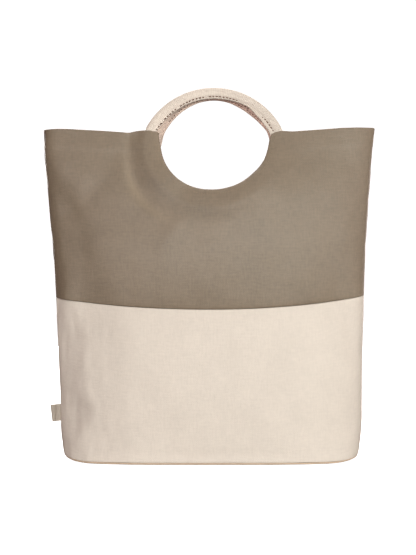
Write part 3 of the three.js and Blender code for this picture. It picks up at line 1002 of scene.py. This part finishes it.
def hem_stitches(name, face):
    moon = MOON if face == FRONT else BACK_MOON
    angle = np.linspace(-math.pi, 0, HEM_POINTS)
    radius = moon_radius(moon, angle) + HEM_STITCH_IN
    right, up = radius * np.cos(angle), radius * np.sin(angle)
    across = moon.across + right + moon.lean * up
    height = moon.height + up
    out = outwards(face, across / HALF_FACE, height)
    points = drape(face, across, height, rise=np.full(len(across), HEM_STITCH_PROUD))
    stitches(name, points, out, HEM_STITCH, taupe_thread)


# Tab

TAB_CELL = 0.8
TAB_ROW = 1.4
TAB_TURN_POINTS = 9  # round its fold


def side_tab():
    """Ribbon folded once into two soft lobes, its ends sewn into the side seam"""
    bend = TAB_REACH - TAB_PUFF
    run = lines((-TAB_SEWN, bend, TAB_CELL))
    turn = np.radians(np.linspace(90, 270, TAB_TURN_POINTS))[1:-1]
    reach = np.concatenate([run, bend - TAB_PUFF * np.cos(turn), run[::-1]])
    side = np.concatenate([np.full(len(run), -1.0), -np.sin(turn), np.full(len(run), 1.0)])
    tall = lines((-TAB_TALL / 2, TAB_TALL / 2, TAB_ROW))
    mesh, column, row = grid(len(reach), len(tall))
    u, z = reach[column], tall[row]
    crease = TAB_CREASE + CREASE_SLANT * z + CREASE_BOW * z * z
    puff = TAB_PUFF * (TAB_PINCH + (1 - TAB_PINCH) * smoothstep(u, *TAB_PINCHED))
    half_thick = puff - CREASE_DEPTH * bell(u - crease, CREASE_REACH)
    lean = math.radians(TAB_TILT)
    seam = body(FRONT, np.full(len(z), -1.0), TAB_HEIGHT + z)
    points = np.stack(
        [
            seam[:, 0] - u * math.cos(lean) - z * math.sin(lean) * u / TAB_REACH,
            side[column] * half_thick,
            TAB_HEIGHT + z * math.cos(lean) - u * math.sin(lean),
        ],
        axis=-1,
    )
    move(mesh, points, np.stack([u, z], axis=-1))
    bmesh.ops.recalc_face_normals(mesh, faces=mesh.faces)
    made = piece("tab_ribbon", mesh, ribbon, "side_tab")
    thicken(made, TAB_THICK, 0)


front_upper = upper_panel("front_upper_cloth", FRONT, FRONT_CELL, "front_upper_panel")
back_upper = upper_panel("back_upper_cloth", BACK, BACK_CELL, "back_upper_panel")
front_lower = lower_panel("front_lower_cloth", FRONT, FRONT_CELL, "front_lower_panel")
back_lower = lower_panel("back_lower_cloth", BACK, BACK_CELL, "back_lower_panel")
base = base_panel()
handle("front_webbing", FRONT_ARCH, "front_handle")
handle("back_webbing", BACK_ARCH, "back_handle")
side_tab()
handle_stitches("front_handle_stitches", FRONT_ARCH, 1)
handle_stitches("front_handle_stitches_inside", FRONT_ARCH, -1)
handle_stitches("back_handle_stitches", BACK_ARCH, 1)
handle_stitches("back_handle_stitches_inside", BACK_ARCH, -1)
hem_stitches("front_hem_stitches", FRONT)
hem_stitches("back_hem_stitches", BACK)

# Stage, light and camera

STUDIO_RADIUS = 6.0  # metres
FLOOR_DROP = 0.2  # below the base, so that the two don't touch


def studio():
    """White floor under a white dome, so that the bag shows against white from every side"""
    # The paper is lit from behind, which takes the shadows away
    paper = bpy.data.materials.new("white studio paper")
    paper.use_nodes = True
    shader = paper.node_tree.nodes["Principled BSDF"]
    shader.inputs["Base Color"].default_value = colour("#F4F3F1")
    shader.inputs["Roughness"].default_value = 0.9
    shader.inputs["Emission Color"].default_value = colour("#FFFFFF")
    shader.inputs["Emission Strength"].default_value = 1.0
    floor, dome = bmesh.new(), bmesh.new()
    bmesh.ops.create_circle(floor, cap_ends=True, segments=64, radius=STUDIO_RADIUS)
    bmesh.ops.translate(floor, verts=floor.verts, vec=(0, 0, -FLOOR_DROP * MM))
    bmesh.ops.create_uvsphere(dome, u_segments=48, v_segments=24, radius=STUDIO_RADIUS)
    bmesh.ops.reverse_faces(dome, faces=dome.faces)
    for name, mesh in (("studio_floor", floor), ("studio_dome", dome)):
        data = bpy.data.meshes.new(name)
        mesh.to_mesh(data)
        mesh.free()
        data.materials.append(paper)
        made = bpy.data.objects.new(name, data)
        bpy.context.scene.collection.objects.link(made)
        # Black flags in the studio keep the light of the paper off the bag
        made.visible_diffuse = False
        made.visible_glossy = False
        made.visible_shadow = name == "studio_floor"


# Soft boxes, in metres and watts, all turned to the middle of the bag
Light = namedtuple("Light", "name place wide tall power tint")
BAG_MIDDLE = (0, 0, 0.24)
LIGHTS = (
    Light("key_light", (0.8, -2.25, 0.46), 1.1, 0.6, 39.0, (0.93, 1.0, 0.95)),
    Light("side_light", (2.25, -0.95, 0.4), 1.1, 1.1, 17.0, (1.0, 0.84, 0.78)),
    Light("fill_light", (-0.95, -2.2, 0.4), 1.1, 1.1, 26.4, (1.0, 0.874, 0.84)),
    Light("top_light", (0, 0.9, 2.6), 1.6, 1.6, 65.0, (1.0, 1.0, 1.0)),
    Light("back_light", (-0.9, 2.2, 0.6), 1.2, 1.2, 38.0, (1.0, 0.95, 0.9)),
    Light("back_fill_light", (1.4, 1.9, 0.5), 1.2, 1.2, 18.0, (1.0, 0.9, 0.86)),
)

studio()
for light in LIGHTS:
    lamp = bpy.data.lights.new(light.name, "AREA")
    lamp.shape = "RECTANGLE"
    lamp.size = light.wide
    lamp.size_y = light.tall
    lamp.energy = light.power
    lamp.color = light.tint
    made = bpy.data.objects.new(light.name, lamp)
    made.location = light.place
    made.rotation_euler = (Vector(BAG_MIDDLE) - Vector(light.place)).to_track_quat("-Z", "Y").to_euler()
    made.visible_camera = False
    bpy.context.scene.collection.objects.link(made)

# A faint warm light comes from all round
scene = bpy.context.scene
world = bpy.data.worlds.new("studio")
world.use_nodes = True
world.node_tree.nodes["Background"].inputs["Color"].default_value = (1.0, 0.52, 0.5, 1.0)
world.node_tree.nodes["Background"].inputs["Strength"].default_value = 0.075
scene.world = world
scene.view_settings.view_transform = "Standard"

# A long lens, level with the middle of the bag
camera = bpy.data.cameras.new("photo_camera")
camera.sensor_fit = "HORIZONTAL"
camera.sensor_width = 36.0
camera.lens = 99.85
viewer = bpy.data.objects.new("photo_camera", camera)
viewer.location = (-0.00195, -1.5, 0.235)
viewer.rotation_euler = (math.radians(90), 0, 0)
scene.collection.objects.link(viewer)
scene.camera = viewer
